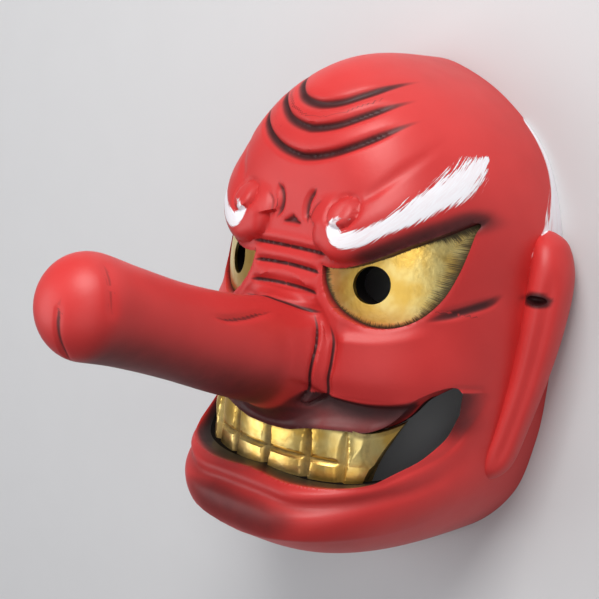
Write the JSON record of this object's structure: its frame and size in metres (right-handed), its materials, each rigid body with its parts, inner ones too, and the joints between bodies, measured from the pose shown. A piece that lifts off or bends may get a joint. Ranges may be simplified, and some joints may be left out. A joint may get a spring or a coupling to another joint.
{
  "type": "tengu mask",
  "caption": "Carved wooden tengu face mask in red lacquer with a long nose, gilded eyes and teeth and painted white brows.",
  "frame": {"origin": "middle of the flat back rim, at the rim's plane", "axes": "+X to the mask's own left, +Y to the crown, +Z out of the face along the nose"},
  "size_m": [0.1794, 0.2186, 0.2094],
  "materials": {
    "red_lacquer": "satin red lacquer over carved wood"
  },
  "bodies": {
    "root": {"mask": "red_lacquer"}
  },
  "joints": []
}
